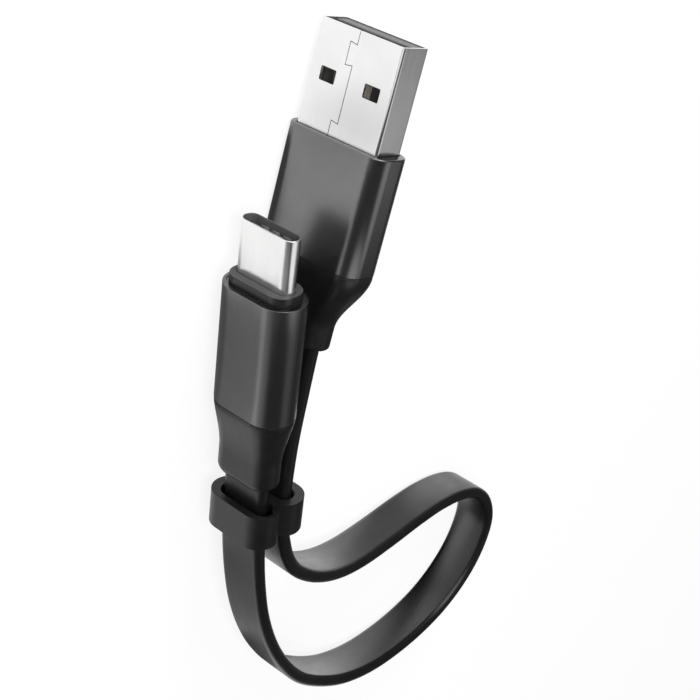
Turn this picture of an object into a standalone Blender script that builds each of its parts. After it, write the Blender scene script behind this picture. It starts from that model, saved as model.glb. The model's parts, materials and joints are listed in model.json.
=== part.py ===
"""Short flat charging cable: a USB-A plug and a USB-C plug on one ribbon cord, folded into a loop.

The cable lies on its side on a table. +Z is up and is the width direction of both plugs and of the
ribbon. +Y is the way the USB-C plug points. The origin is on the table, under the middle of the
USB-A housing. A plug's own frame has its origin in the middle of its mouth, its body along -Y, its
wide faces towards -X and +X, and its narrow sides towards -Z and +Z.
"""

import math

import bmesh
import bpy
import numpy as np
from mathutils import Vector

MM = 0.001

# USB-A shell: folded sheet steel
SHELL_A_WIDTH = 12.0 * MM
SHELL_A_THICKNESS = 4.5 * MM
SHELL_A_WALL = 0.3 * MM
SHELL_A_CORNER = 0.45 * MM
SHELL_A_REACH = 12.2 * MM
SHELL_A_SEAT = 6.0 * MM
SEAM_GAP = 0.12 * MM
SEAM_OFFSET = 0.2 * MM
SEAM_JOG = 1.0 * MM
SEAM_UNDERCUT = 0.08 * MM
SEAM_START = 1.5 * MM
SEAM_KEY = 2.5 * MM
SEAM_RUN = 6.5 * MM
WINDOW_WIDTH = 2.2 * MM
WINDOW_HEIGHT = 1.6 * MM
WINDOW_SPACING = 6.4 * MM
WINDOW_DEPTH = 5.9 * MM

# USB-A tongue, contacts and wires
TONGUE_THICKNESS = 1.9 * MM
TONGUE_SETBACK = 0.45 * MM
TONGUE_REACH = 9.0 * MM
INSULATOR_A_LENGTH = 14.5 * MM
CONTACT_A_WIDTH = 1.0 * MM
CONTACT_A_THICKNESS = 0.26 * MM
CONTACT_A_PITCH = 2.5 * MM
CONTACT_A_INNER_PITCH = 2.0 * MM
CONTACT_A_SETBACK = 1.3 * MM
CONTACT_A_STAGGER = 1.0 * MM
CONTACT_A_TAIL = 1.8 * MM
CONTACT_CLEARANCE = 0.07 * MM

# USB-A housing, inner mould and strain relief
HOUSING_A_SIDE = 1.25 * MM
HOUSING_A_FACE = 0.8 * MM
HOUSING_A_WIDTH = SHELL_A_WIDTH + 2 * HOUSING_A_SIDE
HOUSING_A_THICKNESS = SHELL_A_THICKNESS + 2 * HOUSING_A_FACE
HOUSING_A_CORNER = 2.2 * MM
HOUSING_A_LENGTH = 14.1 * MM
HOUSING_A_WALL = 0.5 * MM
HOUSING_A_NOSE = 1.0 * MM
HOUSING_A_CHAMFER = 0.2 * MM
RELIEF_A_LENGTH = 10.6 * MM
RELIEF_A_TAPER = 7.8 * MM
RELIEF_A_ROUND = 0.5 * MM

# USB-C shell, springs and insulator
SHELL_C_WIDTH = 8.25 * MM
SHELL_C_THICKNESS = 2.4 * MM
SHELL_C_WALL = 0.22 * MM
SHELL_C_REACH = 6.7 * MM
SHELL_C_SEAT = 2.8 * MM
SPRING_THICKNESS = 0.1 * MM
SPRING_WIDTH = 3.9 * MM
SPRING_LENGTH = 6.0 * MM
SPRING_SETBACK = 0.35 * MM
SPRING_DIP = 0.42 * MM
SPRING_FINGERS = 3
SPRING_SLOT = 0.4 * MM
SPRING_FINGER_LENGTH = 1.3 * MM
INSULATOR_C_WALL = 0.26 * MM
INSULATOR_C_SETBACK = 1.5 * MM
CAVITY_C_WIDTH = 6.7 * MM
LATCH_THICKNESS = 0.2 * MM
LATCH_ARM = 0.22 * MM
LATCH_HOOK = 0.3 * MM
LATCH_SETBACK = 1.6 * MM
LATCH_ARM_REACH = 4.8 * MM
LATCH_BASE = 2.4 * MM

# USB-C contacts, board and wires
CONTACT_C_WIDTH = 0.25 * MM
CONTACT_C_THICKNESS = 0.12 * MM
CONTACT_C_PITCH = 0.5 * MM
CONTACT_C_SETBACK = 1.9 * MM
CONTACT_C_TAIL = 1.4 * MM
CONTACT_C_ROWS = {"a": (1, 4, 5, 6, 7, 9, 12), "b": (1, 4, 5, 9, 12)}
CONTACT_C_COUNT = 12
BOARD_WIDTH = 7.6 * MM
BOARD_THICKNESS = 0.6 * MM
BOARD_LENGTH = 7.4 * MM
RESISTOR_SIZE = (0.35 * MM, 1.0 * MM, 0.5 * MM)

# USB-C housing, collar and strain relief
HOUSING_C_SIDE = 1.425 * MM
HOUSING_C_FACE = 2.0 * MM
HOUSING_C_WIDTH = SHELL_C_WIDTH + 2 * HOUSING_C_SIDE
HOUSING_C_THICKNESS = SHELL_C_THICKNESS + 2 * HOUSING_C_FACE
HOUSING_C_LENGTH = 15.6 * MM
HOUSING_C_WALL = 0.6 * MM
HOUSING_C_CHAMFER = 0.4 * MM
COLLAR_CORNER = 2.0 * MM
COLLAR_STEP = 1.2 * MM
COLLAR_WIDTH_CLEARANCE = 0.3 * MM
RELIEF_C_LENGTH = 10.4 * MM
RELIEF_C_TAPER = 7.0 * MM
RELIEF_C_ROUND = 1.1 * MM

# What both plugs share
NOSE_OPENING_CLEARANCE = 0.15 * MM
MOULD_CLEARANCE = 0.2 * MM
SEAT_GAP = 0.3 * MM
FLANGE_GAP = 0.2 * MM
FLANGE_INSET = 0.05 * MM
SPIGOT_LENGTH = 1.5 * MM
RELIEF_LEAD = 0.4 * MM
RELIEF_END_WIDTH = 8.9 * MM
RELIEF_END_THICKNESS = 4.15 * MM
RELIEF_BORE_WIDTH = 5.6 * MM
RELIEF_BORE_THICKNESS = 1.3 * MM
WIRE_DIAMETER = 0.7 * MM
WIRE_PITCH = 1.0 * MM
WIRE_COUNT = 4

# Cord and clip
CORD_WIDTH = 6.8 * MM
CORD_THICKNESS = 1.9 * MM
CORD_STEPS = 76
CLIP_HEIGHT = 4.8 * MM
CLIP_FACE_WALL = 1.25 * MM
CLIP_END_WALL = 1.2 * MM
CLIP_SLOT_CLEARANCE = 0.4 * MM
CLIP_STRAND_SPACING = 4.2 * MM
CLIP_TOP_GAP = 3.2 * MM
CLIP_EDGE = 0.3 * MM

# Where the plugs lie
PLUG_LEAN = math.radians(11.9)
USB_C_MOUTH_X = -10.0 * MM
USB_C_MOUTH_Y = -0.8 * MM
PLUG_HEIGHT = HOUSING_A_WIDTH / 2

# The cord's route between the two strands' straight ends: (x, y, z) in metres
CORD_ROUTE = [
    (-0.0046, -0.0235, 0.00725),
    (-0.0055, -0.0305, 0.00725),
    (-0.0058, -0.0360, 0.00725),
    (-0.0058, -0.0400, 0.00725),
    (-0.0056, -0.0432, 0.00725),
    (-0.0048, -0.0463, 0.0072),
    (-0.0036, -0.0493, 0.0070),
    (-0.0014, -0.0527, 0.0067),
    (0.0020, -0.0559, 0.0064),
    (0.0062, -0.0586, 0.0060),
    (0.0108, -0.0606, 0.0055),
    (0.0160, -0.0618, 0.0050),
    (0.0226, -0.0622, 0.0045),
    (0.0304, -0.0622, 0.0040),
    (0.0361, -0.0625, 0.0037),
    (0.0413, -0.0634, 0.00355),
    (0.0459, -0.0653, 0.00345),
    (0.0493, -0.0686, 0.00345),
    (0.0510, -0.0730, 0.00345),
    (0.0505, -0.0772, 0.00345),
    (0.0486, -0.0811, 0.00345),
    (0.0456, -0.0843, 0.00345),
    (0.0418, -0.0867, 0.00345),
    (0.0369, -0.0880, 0.0036),
    (0.0308, -0.0883, 0.0039),
    (0.0233, -0.0874, 0.0043),
    (0.0157, -0.0847, 0.0048),
    (0.0088, -0.0804, 0.0053),
    (0.0034, -0.0757, 0.0058),
    (-0.0012, -0.0697, 0.0062),
    (-0.0046, -0.0637, 0.0066),
    (-0.0071, -0.0575, 0.0069),
    (-0.0086, -0.0520, 0.00715),
    (-0.0095, -0.0470, 0.00725),
    (-0.0099, -0.0428, 0.00725),
    (-0.0100, -0.0390, 0.00725),
]

# How finely round shapes are faceted
CORNER_STEPS = 6
TAPER_STEPS = 10
ROUND_STEPS = 3
SMOOTH_ANGLE = math.radians(38)


def clear_scene():
    for obj in list(bpy.data.objects):
        bpy.data.objects.remove(obj, do_unlink=True)


def material(name, colour, roughness, metallic=0.0):
    mat = bpy.data.materials.new(name)
    mat.use_nodes = True
    mat.diffuse_color = (*colour, 1.0)
    shader = mat.node_tree.nodes["Principled BSDF"]
    shader.inputs["Base Color"].default_value = (*colour, 1.0)
    shader.inputs["Roughness"].default_value = roughness
    shader.inputs["Metallic"].default_value = metallic
    return mat


def nickel(name):
    return material(name, (0.78, 0.78, 0.78), 0.18, 1.0)


def gold(name):
    return material(name, (0.83, 0.61, 0.25), 0.28, 1.0)


def anodised(name):
    return material(name, (0.045, 0.045, 0.048), 0.42, 0.6)


def rubber(name):
    return material(name, (0.022, 0.022, 0.023), 0.55)


def plastic(name, colour):
    return material(name, colour, 0.5)


def plug_frame(name, x, y, lean):
    """An empty in the middle of a plug's mouth; the plug's body lies along its -Y."""
    empty = bpy.data.objects.new(name, None)
    bpy.context.scene.collection.objects.link(empty)
    empty.location = (x, y, PLUG_HEIGHT)
    empty.rotation_euler = (0.0, 0.0, -lean)
    empty.empty_display_size = 3 * MM
    return empty


def add_object(name, bm, mat, parent=None):
    """Makes the bmesh an object, shaded smooth with its creases kept sharp."""
    bmesh.ops.recalc_face_normals(bm, faces=bm.faces)
    mesh = bpy.data.meshes.new(name)
    bm.to_mesh(mesh)
    bm.free()
    mesh.materials.append(mat)
    mesh.shade_smooth()
    mesh.set_sharp_from_angle(angle=SMOOTH_ANGLE)
    obj = bpy.data.objects.new(name, mesh)
    bpy.context.scene.collection.objects.link(obj)
    obj.parent = parent
    return obj


def rounded_outline(width, thickness, corner):
    """(x, z) points of a rounded rectangle, thickness along x and width along z."""
    corner = min(corner, thickness / 2 * 0.999, width / 2 * 0.999)
    points = []
    for quarter, (side_x, side_z) in enumerate(((1, 1), (-1, 1), (-1, -1), (1, -1))):
        centre_x = side_x * (thickness / 2 - corner)
        centre_z = side_z * (width / 2 - corner)
        for step in range(CORNER_STEPS + 1):
            angle = math.pi / 2 * (quarter + step / CORNER_STEPS)
            points.append((centre_x + corner * math.cos(angle), centre_z + corner * math.sin(angle)))
    return points


def bridge(bm, first, second):
    for index, vert in enumerate(first):
        after = (index + 1) % len(first)
        bm.faces.new((vert, first[after], second[after], second[index]))


def sections(stations):
    """One ring of vertices per station (y, width, thickness, corner), joined in turn."""
    bm = bmesh.new()
    rings = []
    for y, width, thickness, corner in stations:
        rings.append([bm.verts.new((x, y, z)) for x, z in rounded_outline(width, thickness, corner)])
    for first, second in zip(rings, rings[1:]):
        bridge(bm, first, second)
    return bm, rings


def sleeve(name, stations, mat, parent):
    """A body with a hole through it: the stations run down its outside and back up its inside."""
    bm, rings = sections(stations)
    bridge(bm, rings[-1], rings[0])
    return add_object(name, bm, mat, parent)


def prism(name, outline, axis, low, high, mat, parent=None):
    """An outline of (u, v) points pushed along one axis: x takes (y, z), y (x, z) and z (x, y)."""
    place = {
        "x": lambda u, v, depth: (depth, u, v),
        "y": lambda u, v, depth: (u, depth, v),
        "z": lambda u, v, depth: (u, v, depth),
    }[axis]
    bm = bmesh.new()
    bottom = [bm.verts.new(place(u, v, low)) for u, v in outline]
    top = [bm.verts.new(place(u, v, high)) for u, v in outline]
    bm.faces.new(bottom)
    bm.faces.new(top)
    bridge(bm, bottom, top)
    return add_object(name, bm, mat, parent)


def block(name, low, high, mat, parent=None):
    outline = [(low[0], low[1]), (high[0], low[1]), (high[0], high[1]), (low[0], high[1])]
    return prism(name, outline, "z", low[2], high[2], mat, parent)


def boolean(obj, other, operation):
    """Adds a Boolean by a helper that is left out of the finished part."""
    other.hide_render = True
    other.display_type = "WIRE"
    modifier = obj.modifiers.new(other.name, "BOOLEAN")
    modifier.operation = operation
    modifier.solver = "EXACT"
    modifier.object = other


def smooth_curve(points, count):
    """Points evenly spaced along a smooth curve through the given ones."""
    knots = np.array(points, dtype=float)
    steps = np.linalg.norm(np.diff(knots, axis=0), axis=1)
    travel = np.concatenate(([0.0], np.cumsum(np.sqrt(steps))))
    slopes = np.gradient(knots, travel, axis=0)
    fine = []
    for index in range(len(knots) - 1):
        span = travel[index + 1] - travel[index]
        for t in np.linspace(0.0, 1.0, 24, endpoint=False):
            fine.append(
                (2 * t**3 - 3 * t**2 + 1) * knots[index]
                + (t**3 - 2 * t**2 + t) * span * slopes[index]
                + (3 * t**2 - 2 * t**3) * knots[index + 1]
                + (t**3 - t**2) * span * slopes[index + 1]
            )
    fine.append(knots[-1])
    fine = np.array(fine)
    run = np.concatenate(([0.0], np.cumsum(np.linalg.norm(np.diff(fine, axis=0), axis=1))))
    even = np.linspace(0.0, run[-1], count)
    return np.column_stack([np.interp(even, run, fine[:, axis]) for axis in range(3)])


def round_cord(name, points, diameter, width, mat, parent=None):
    """A cord along the points: round, or a ribbon standing on edge where its width is more."""
    data = bpy.data.curves.new(name, "CURVE")
    data.dimensions = "3D"
    data.twist_mode = "Z_UP"
    data.bevel_depth = diameter / 2
    data.bevel_resolution = 2 if width > diameter else 1
    data.extrude = (width - diameter) / 2
    data.use_fill_caps = True
    spline = data.splines.new("POLY")
    spline.points.add(len(points) - 1)
    for point, place in zip(spline.points, points):
        point.co = (*place, 1.0)
    spline.use_smooth = True
    data.materials.append(mat)
    obj = bpy.data.objects.new(name, data)
    bpy.context.scene.collection.objects.link(obj)
    obj.parent = parent
    return obj


def shrink(section, inset):
    """A rounded rectangle (width, thickness, corner) inset by the same amount all round."""
    return section[0] - 2 * inset, section[1] - 2 * inset, section[2] - inset


def housing(name, top, length, outer, wall, chamfer, nose, opening, parent):
    """An anodised sleeve with a chamfered front edge and, where nose isn't 0, an end wall."""
    inner = shrink(outer, wall)
    stations = [
        (top, *shrink(outer, chamfer)),
        (top - chamfer, *outer),
        (top - length, *outer),
        (top - length, *inner),
    ]
    if nose:
        stations.append((top - nose, *inner))
        stations.append((top - nose, *opening))
    stations.append((top, *opening))
    return sleeve(name, stations, anodised(name), parent)


def strain_relief(name, seat, outer, spigot, length, taper, end_round, parent):
    """A moulded sleeve that swells from the cord to the housing's outline, with a spigot inside it.

    seat is the y of the housing's rear face; outer and spigot are (width, thickness, corner).
    """
    flange = shrink(outer, FLANGE_INSET)
    end = (RELIEF_END_WIDTH, RELIEF_END_THICKNESS, RELIEF_END_THICKNESS / 2)
    front = seat - FLANGE_GAP
    back = seat - length
    stations = [(seat + SPIGOT_LENGTH, *spigot), (front, *spigot), (front, *flange)]
    for step in range(TAPER_STEPS + 1):
        share = step / TAPER_STEPS
        ease = share * share * (3 - 2 * share)
        section = [a + (b - a) * ease for a, b in zip(flange, end)]
        stations.append((seat - RELIEF_LEAD - (taper - RELIEF_LEAD) * share, *section))
    for step in range(ROUND_STEPS + 1):
        angle = math.pi / 2 * step / ROUND_STEPS
        inset = end_round * (1 - math.cos(angle))
        flat_inset = min(inset, RELIEF_A_ROUND * (1 - math.cos(angle)))
        y = back + end_round * (1 - math.sin(angle))
        stations.append((y, end[0] - 2 * inset, end[1] - 2 * flat_inset, end[2] - flat_inset))
    bore = (RELIEF_BORE_WIDTH, RELIEF_BORE_THICKNESS, RELIEF_BORE_THICKNESS / 2)
    stations.append((back, *bore))
    stations.append((seat + SPIGOT_LENGTH, *bore))
    return sleeve(name, stations, rubber(name), parent)


def wires(prefix, starts, exit_y, colours, parent):
    """The insulated cores, from their solder points to the cord's end."""
    for index, (colour_name, colour) in enumerate(colours):
        start = Vector(starts[index])
        lane = (index - (WIRE_COUNT - 1) / 2) * WIRE_PITCH
        end = Vector((0.0, exit_y, lane))
        entry = Vector((0.0, exit_y + (start.y - exit_y) * 0.55, lane))
        leave = start + Vector((0.0, (exit_y - start.y) * 0.12, 0.0))
        points = smooth_curve([start, leave, entry, end], 14)
        name = f"{prefix}_wire_{colour_name}"
        round_cord(name, points, WIRE_DIAMETER, WIRE_DIAMETER, plastic(name, colour), parent)


WIRE_COLOURS = (
    ("red", (0.6, 0.03, 0.03)),
    ("white", (0.8, 0.8, 0.78)),
    ("green", (0.04, 0.35, 0.08)),
    ("black", (0.02, 0.02, 0.02)),
)


def strip(path, width):
    """The outline of a strip of even width along a path of (u, v) points."""
    runs = [(Vector(b) - Vector(a)).normalized() for a, b in zip(path, path[1:])]
    before = [runs[0], *runs]
    after = [*runs, runs[-1]]
    sides = []
    for point, first, second in zip(path, before, after):
        normal = Vector((-first.y - second.y, first.x + second.x)).normalized()
        spread = width / 2 / normal.dot(Vector((-first.y, first.x)))
        sides.append((Vector(point), normal * spread))
    left = [tuple(point + shift) for point, shift in sides]
    right = [tuple(point - shift) for point, shift in reversed(sides)]
    return left + right


def seam_outline():
    """The folded sheet's joint as a thin strip of (y, z): straight runs with dovetail keys."""
    end = -SHELL_A_REACH - SHELL_A_SEAT - SEAM_GAP
    plain = -SEAM_OFFSET
    keyed = plain - SEAM_JOG
    path = [(SEAM_GAP, plain)]
    y = -SEAM_START
    while y - SEAM_KEY > end:
        path.append((y - SEAM_UNDERCUT, plain))
        path.append((y + SEAM_UNDERCUT, keyed))
        path.append((y - SEAM_KEY - SEAM_UNDERCUT, keyed))
        path.append((y - SEAM_KEY + SEAM_UNDERCUT, plain))
        y -= SEAM_KEY + SEAM_RUN
    path.append((end, plain))
    return strip(path, SEAM_GAP)


def usb_a_shell(parent):
    name = "usb_a_shell"
    length = SHELL_A_REACH + SHELL_A_SEAT
    outer = (SHELL_A_WIDTH, SHELL_A_THICKNESS, SHELL_A_CORNER)
    inner = shrink(outer, SHELL_A_WALL)
    mat = nickel(name)
    stations = [(0.0, *outer), (-length, *outer), (-length, *inner), (0.0, *inner)]
    shell = sleeve(name, stations, mat, parent)
    reach = SHELL_A_THICKNESS / 2 + SHELL_A_WALL
    seam = prism("cut_seam", seam_outline(), "x", -reach, -SHELL_A_THICKNESS / 4, mat, parent)
    boolean(shell, seam, "DIFFERENCE")
    for side in (-1, 1):
        middle = side * WINDOW_SPACING / 2
        low = (-reach, -WINDOW_DEPTH - WINDOW_HEIGHT / 2, middle - WINDOW_WIDTH / 2)
        high = (reach, -WINDOW_DEPTH + WINDOW_HEIGHT / 2, middle + WINDOW_WIDTH / 2)
        boolean(shell, block(f"cut_window_{side}", low, high, mat, parent), "DIFFERENCE")
    return shell


def contact_a_places():
    inner = CONTACT_A_INNER_PITCH / 2
    outer = inner + CONTACT_A_PITCH
    return (-outer, -inner, inner, outer)


def usb_a_insulator(parent):
    """The tongue against the back wall and, behind it, the block that fills the shell."""
    name = "usb_a_insulator"
    mat = plastic(name, (0.55, 0.55, 0.55))
    half = SHELL_A_THICKNESS / 2 - SHELL_A_WALL - CONTACT_CLEARANCE
    face = half - TONGUE_THICKNESS
    outline = [
        (half, -TONGUE_SETBACK),
        (half, -INSULATOR_A_LENGTH),
        (-half, -INSULATOR_A_LENGTH),
        (-half, -TONGUE_REACH),
        (face, -TONGUE_REACH),
        (face, -TONGUE_SETBACK),
    ]
    side = SHELL_A_WIDTH / 2 - SHELL_A_WALL - MOULD_CLEARANCE
    insulator = prism(name, outline, "z", -side, side, mat, parent)
    groove = CONTACT_A_THICKNESS / 2 + CONTACT_CLEARANCE
    for index, z in enumerate(contact_a_places()):
        reach = CONTACT_A_WIDTH / 2 + CONTACT_CLEARANCE
        low = (face - groove, -INSULATOR_A_LENGTH - SEAT_GAP, z - reach)
        high = (face + groove, -CONTACT_A_SETBACK + CONTACT_CLEARANCE, z + reach)
        boolean(insulator, block(f"cut_groove_{index + 1}", low, high, mat, parent), "DIFFERENCE")
    return face


def usb_a_contacts(face, parent):
    """Four gold strips in the tongue's grooves, the outer two longer, with their noses turned in."""
    half = CONTACT_A_THICKNESS / 2
    tail = -INSULATOR_A_LENGTH - CONTACT_A_TAIL
    for index, z in enumerate(contact_a_places()):
        inner = index in (1, 2)
        nose = -CONTACT_A_SETBACK - (CONTACT_A_STAGGER if inner else 0.0)
        outline = [
            (face - half, nose - 2 * half),
            (face - half, tail),
            (face + half, tail),
            (face + half, nose),
            (face, nose),
        ]
        name = f"usb_a_contact_{index + 1}"
        prism(name, outline, "z", z - CONTACT_A_WIDTH / 2, z + CONTACT_A_WIDTH / 2, gold(name), parent)


def usb_a_plug():
    """The whole USB-A plug; returns its frame and the cord's start in that frame."""
    middle = SHELL_A_REACH + HOUSING_A_LENGTH / 2
    frame = plug_frame(
        "usb_a_plug", middle * math.sin(PLUG_LEAN), middle * math.cos(PLUG_LEAN), PLUG_LEAN
    )
    usb_a_shell(frame)
    face = usb_a_insulator(frame)
    usb_a_contacts(face, frame)

    shell = (SHELL_A_WIDTH, SHELL_A_THICKNESS, SHELL_A_CORNER)
    opening = shrink(shell, -NOSE_OPENING_CLEARANCE)
    outer = (HOUSING_A_WIDTH, HOUSING_A_THICKNESS, HOUSING_A_CORNER)
    housing(
        "usb_a_housing",
        -SHELL_A_REACH,
        HOUSING_A_LENGTH,
        outer,
        HOUSING_A_WALL,
        HOUSING_A_CHAMFER,
        HOUSING_A_NOSE,
        opening,
        frame,
    )

    core = shrink(outer, HOUSING_A_WALL + MOULD_CLEARANCE)
    rear = -SHELL_A_REACH - HOUSING_A_LENGTH
    mould_top = -SHELL_A_REACH - SHELL_A_SEAT - SEAT_GAP
    mould_end = rear + SPIGOT_LENGTH + SEAT_GAP
    bore = (SHELL_A_WIDTH - 3 * SHELL_A_WALL, core[1] / 2, core[1] / 4)
    name = "usb_a_inner_mould"
    stations = [(mould_top, *core), (mould_end, *core), (mould_end, *bore), (mould_top, *bore)]
    sleeve(name, stations, plastic(name, (0.03, 0.03, 0.03)), frame)

    strain_relief(
        "usb_a_strain_relief",
        rear,
        outer,
        core,
        RELIEF_A_LENGTH,
        RELIEF_A_TAPER,
        RELIEF_A_ROUND,
        frame,
    )
    exit_y = rear - RELIEF_A_LENGTH
    solder_y = -INSULATOR_A_LENGTH - CONTACT_A_TAIL - SEAT_GAP
    starts = [(face, solder_y, z) for z in contact_a_places()]
    wires("usb_a", starts, exit_y, WIRE_COLOURS, frame)
    return frame, exit_y


def usb_c_spring(name, side, parent):
    """One ground spring: a thin plate whose three front fingers curl into the mouth."""
    wall = SHELL_C_THICKNESS / 2 - SHELL_C_WALL
    back = wall - SPRING_THICKNESS / 2
    front = back - SPRING_THICKNESS
    bend = SPRING_SETBACK + SPRING_FINGER_LENGTH / 2
    outline = [
        (back, -SPRING_SETBACK),
        (back - SPRING_DIP, -bend),
        (back, -SPRING_SETBACK - SPRING_FINGER_LENGTH * 0.75),
        (back, -SPRING_SETBACK - SPRING_LENGTH),
        (front, -SPRING_SETBACK - SPRING_LENGTH),
        (front, -SPRING_SETBACK - SPRING_FINGER_LENGTH * 0.75),
        (front - SPRING_DIP, -bend),
        (front, -SPRING_SETBACK),
    ]
    mat = nickel(name)
    outline = [(side * x, y) for x, y in outline]
    spring = prism(name, outline, "z", -SPRING_WIDTH / 2, SPRING_WIDTH / 2, mat, parent)
    pitch = (SPRING_WIDTH + SPRING_SLOT) / SPRING_FINGERS
    for gap in range(1, SPRING_FINGERS):
        z = -SPRING_WIDTH / 2 + gap * pitch - SPRING_SLOT / 2
        low = (-wall, -SPRING_SETBACK - SPRING_FINGER_LENGTH, z - SPRING_SLOT / 2)
        high = (wall, 0.0, z + SPRING_SLOT / 2)
        boolean(spring, block(f"cut_{name}_{gap}", low, high, mat, parent), "DIFFERENCE")


def usb_c_latch_plate(rear, parent):
    """The U-shaped plate whose two hooked arms snap into the socket's tongue."""
    name = "usb_c_latch_plate"
    side = CAVITY_C_WIDTH / 2 - CONTACT_CLEARANCE
    inner = side - LATCH_ARM
    shoulder = -LATCH_SETBACK - LATCH_ARM_REACH
    half_arm = [
        (rear, side),
        (-LATCH_SETBACK, side),
        (-LATCH_SETBACK, inner),
        (-LATCH_SETBACK - LATCH_HOOK, inner - LATCH_HOOK),
        (-LATCH_SETBACK - 2 * LATCH_HOOK, inner - LATCH_HOOK),
        (-LATCH_SETBACK - 3 * LATCH_HOOK, inner),
        (shoulder, inner),
    ]
    outline = half_arm + [(y, -z) for y, z in reversed(half_arm)]
    half = LATCH_THICKNESS / 2
    prism(name, outline, "x", -half, half, nickel(name), parent)


def usb_c_contacts(bore_half, rear, parent):
    """Seven contacts on the cavity's back wall and five on its front wall, at the standard places."""
    outside = bore_half - CONTACT_CLEARANCE
    inside = outside - CONTACT_C_THICKNESS
    for row, places in CONTACT_C_ROWS.items():
        side = 1 if row == "a" else -1
        for place in places:
            z = side * (place - (CONTACT_C_COUNT + 1) / 2) * CONTACT_C_PITCH
            outline = [
                (side * outside, -CONTACT_C_SETBACK),
                (side * outside, rear - CONTACT_C_TAIL),
                (side * inside, rear - CONTACT_C_TAIL),
                (side * inside, -CONTACT_C_SETBACK - 2 * CONTACT_C_THICKNESS),
            ]
            name = f"usb_c_contact_{row}{place}"
            low = z - CONTACT_C_WIDTH / 2
            high = z + CONTACT_C_WIDTH / 2
            prism(name, outline, "z", low, high, gold(name), parent)


def usb_c_board(bore_half, insulator_rear, parent):
    """The small board that carries the contacts' tails, and its pull-up resistor."""
    half = BOARD_THICKNESS / 2
    top = insulator_rear - SEAT_GAP
    low = (-half, top - BOARD_LENGTH, -BOARD_WIDTH / 2)
    high = (half, top, BOARD_WIDTH / 2)
    block("usb_c_paddle_board", low, high, plastic("usb_c_paddle_board", (0.02, 0.09, 0.05)), parent)
    height, length, width = RESISTOR_SIZE
    seat = -half - CONTACT_CLEARANCE
    middle = top - BOARD_LENGTH * 0.45
    low = (seat - height, middle - length / 2, -width / 2)
    high = (seat, middle + length / 2, width / 2)
    name = "usb_c_pullup_resistor"
    block(name, low, high, plastic(name, (0.05, 0.05, 0.05)), parent)
    return top - BOARD_LENGTH


def usb_c_plug():
    """The whole USB-C plug; returns its frame and the cord's end in that frame."""
    frame = plug_frame("usb_c_plug", USB_C_MOUTH_X, USB_C_MOUTH_Y, 0.0)
    shell_rear = -SHELL_C_REACH - SHELL_C_SEAT
    shell = (SHELL_C_WIDTH, SHELL_C_THICKNESS, SHELL_C_THICKNESS / 2)
    inner = shrink(shell, SHELL_C_WALL)
    stations = [(0.0, *shell), (shell_rear, *shell), (shell_rear, *inner), (0.0, *inner)]
    sleeve("usb_c_shell", stations, nickel("usb_c_shell"), frame)

    usb_c_spring("usb_c_ground_spring_front", -1, frame)
    usb_c_spring("usb_c_ground_spring_back", 1, frame)

    core = shrink(inner, 2 * SPRING_THICKNESS)
    bore_thickness = core[1] - 2 * INSULATOR_C_WALL
    bore = (CAVITY_C_WIDTH, bore_thickness, bore_thickness / 4)
    insulator_rear = shell_rear + SEAT_GAP
    stations = [
        (-INSULATOR_C_SETBACK, *core),
        (insulator_rear, *core),
        (insulator_rear, *bore),
        (-INSULATOR_C_SETBACK, *bore),
    ]
    name = "usb_c_insulator"
    sleeve(name, stations, plastic(name, (0.03, 0.03, 0.03)), frame)
    usb_c_contacts(bore_thickness / 2, insulator_rear, frame)
    usb_c_latch_plate(insulator_rear, frame)
    board_rear = usb_c_board(bore_thickness / 2, insulator_rear, frame)

    outer = (HOUSING_C_WIDTH, HOUSING_C_THICKNESS, HOUSING_C_THICKNESS / 2)
    collar = (
        HOUSING_C_WIDTH - 2 * (HOUSING_C_WALL + COLLAR_WIDTH_CLEARANCE),
        HOUSING_C_THICKNESS - 2 * (HOUSING_C_WALL + MOULD_CLEARANCE),
        COLLAR_CORNER,
    )
    housing_top = -SHELL_C_REACH - COLLAR_STEP
    rear = housing_top - HOUSING_C_LENGTH
    mould_end = rear + SPIGOT_LENGTH + SEAT_GAP
    bore = shrink(shell, -NOSE_OPENING_CLEARANCE)
    stations = [
        (-SHELL_C_REACH, *collar),
        (mould_end, *collar),
        (mould_end, *bore),
        (-SHELL_C_REACH, *bore),
    ]
    name = "usb_c_collar"
    sleeve(name, stations, plastic(name, (0.03, 0.03, 0.03)), frame)

    housing(
        "usb_c_housing",
        housing_top,
        HOUSING_C_LENGTH,
        outer,
        HOUSING_C_WALL,
        HOUSING_C_CHAMFER,
        0.0,
        shrink(outer, HOUSING_C_WALL),
        frame,
    )
    strain_relief(
        "usb_c_strain_relief",
        rear,
        outer,
        collar,
        RELIEF_C_LENGTH,
        RELIEF_C_TAPER,
        RELIEF_C_ROUND,
        frame,
    )
    exit_y = rear - RELIEF_C_LENGTH
    lift = BOARD_THICKNESS / 2 + WIRE_DIAMETER / 2 + CONTACT_CLEARANCE
    solder_y = board_rear + 2 * WIRE_DIAMETER
    lanes = [(index - (WIRE_COUNT - 1) / 2) * 1.5 * WIRE_PITCH for index in range(WIRE_COUNT)]
    starts = [(lift, solder_y, z) for z in lanes]
    wires("usb_c", starts, exit_y, WIRE_COLOURS, frame)
    return frame, exit_y


def cord(usb_a, usb_a_exit, usb_c, usb_c_exit):
    """The ribbon, from one strain relief's end to the other's through both slots of the clip."""
    start = usb_a.matrix_basis @ Vector((0.0, usb_a_exit - SEAT_GAP, 0.0))
    end = usb_c.matrix_basis @ Vector((0.0, usb_c_exit - SEAT_GAP, 0.0))
    points = smooth_curve([start, *CORD_ROUTE, end], CORD_STEPS)
    round_cord("cord", points, CORD_THICKNESS, CORD_WIDTH, rubber("cord"))


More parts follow.
